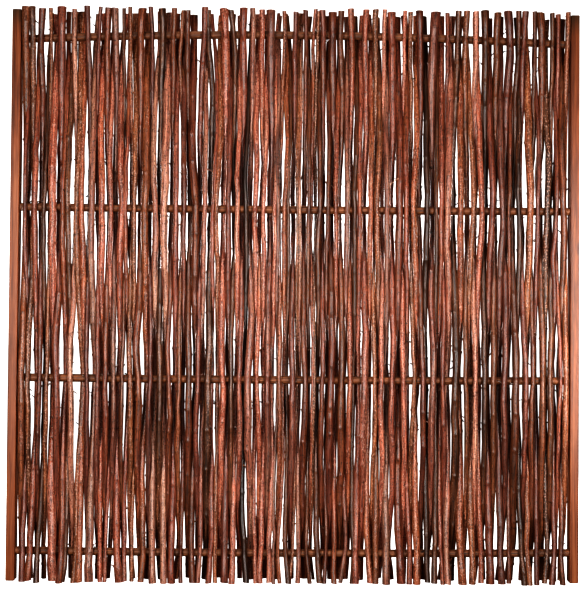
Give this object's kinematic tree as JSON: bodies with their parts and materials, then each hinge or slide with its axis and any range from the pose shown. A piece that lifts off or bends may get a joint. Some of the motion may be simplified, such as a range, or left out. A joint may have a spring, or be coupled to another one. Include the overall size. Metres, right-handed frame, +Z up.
{
  "type": "fence panel",
  "caption": "Rustic screen panel of slim bark-covered rods woven upright, in front of and behind round cross rails, between two sawn side posts.",
  "frame": {"origin": "under the middle of the panel, level with the lowest rod ends", "axes": "+X along the panel towards the right-hand post as seen from the front, +Y towards the back through the panel's thickness, +Z up along the rods"},
  "size_m": [1.8, 0.0934, 1.8118],
  "materials": {
    "post_timber": "reddish-brown stained sawn softwood, matt",
    "rail_pole": "dark brown peeled round pole, matt",
    "hazel_bark": "dried reddish-brown bark with pale speckles, slightly silky",
    "nail_steel": "dull grey cut steel"
  },
  "bodies": {
    "root": {"left_post": "post_timber", "right_post": "post_timber", "bottom_rail": "rail_pole", "lower_rail": "rail_pole", "upper_rail": "rail_pole", "top_rail": "rail_pole", "rail_nails": "nail_steel", "rods_01": "hazel_bark", "rods_02": "hazel_bark", "rods_03": "hazel_bark", "rods_04": "hazel_bark", "rods_05": "hazel_bark", "rods_06": "hazel_bark", "rods_07": "hazel_bark", "rods_08": "hazel_bark", "rods_09": "hazel_bark", "rods_10": "hazel_bark", "rods_11": "hazel_bark", "rods_12": "hazel_bark", "rods_13": "hazel_bark", "rods_14": "hazel_bark", "rods_15": "hazel_bark", "rods_16": "hazel_bark", "rods_17": "hazel_bark", "rods_18": "hazel_bark", "rods_19": "hazel_bark", "rods_20": "hazel_bark", "rods_21": "hazel_bark", "rods_22": "hazel_bark", "rods_23": "hazel_bark", "rods_24": "hazel_bark", "rods_25": "hazel_bark", "rods_26": "hazel_bark", "rods_27": "hazel_bark", "rods_28": "hazel_bark", "rods_29": "hazel_bark", "rods_30": "hazel_bark", "rods_31": "hazel_bark", "rods_32": "hazel_bark", "rods_33": "hazel_bark", "rods_34": "hazel_bark", "rods_35": "hazel_bark", "rods_36": "hazel_bark", "rods_37": "hazel_bark", "rods_38": "hazel_bark", "rods_39": "hazel_bark", "rods_40": "hazel_bark", "rods_41": "hazel_bark", "rods_42": "hazel_bark", "rods_43": "hazel_bark", "rods_44": "hazel_bark", "rods_45": "hazel_bark", "rods_46": "hazel_bark", "rods_47": "hazel_bark", "rods_48": "hazel_bark", "rods_49": "hazel_bark", "rods_50": "hazel_bark", "rods_51": "hazel_bark", "rods_52": "hazel_bark"}
  },
  "joints": []
}
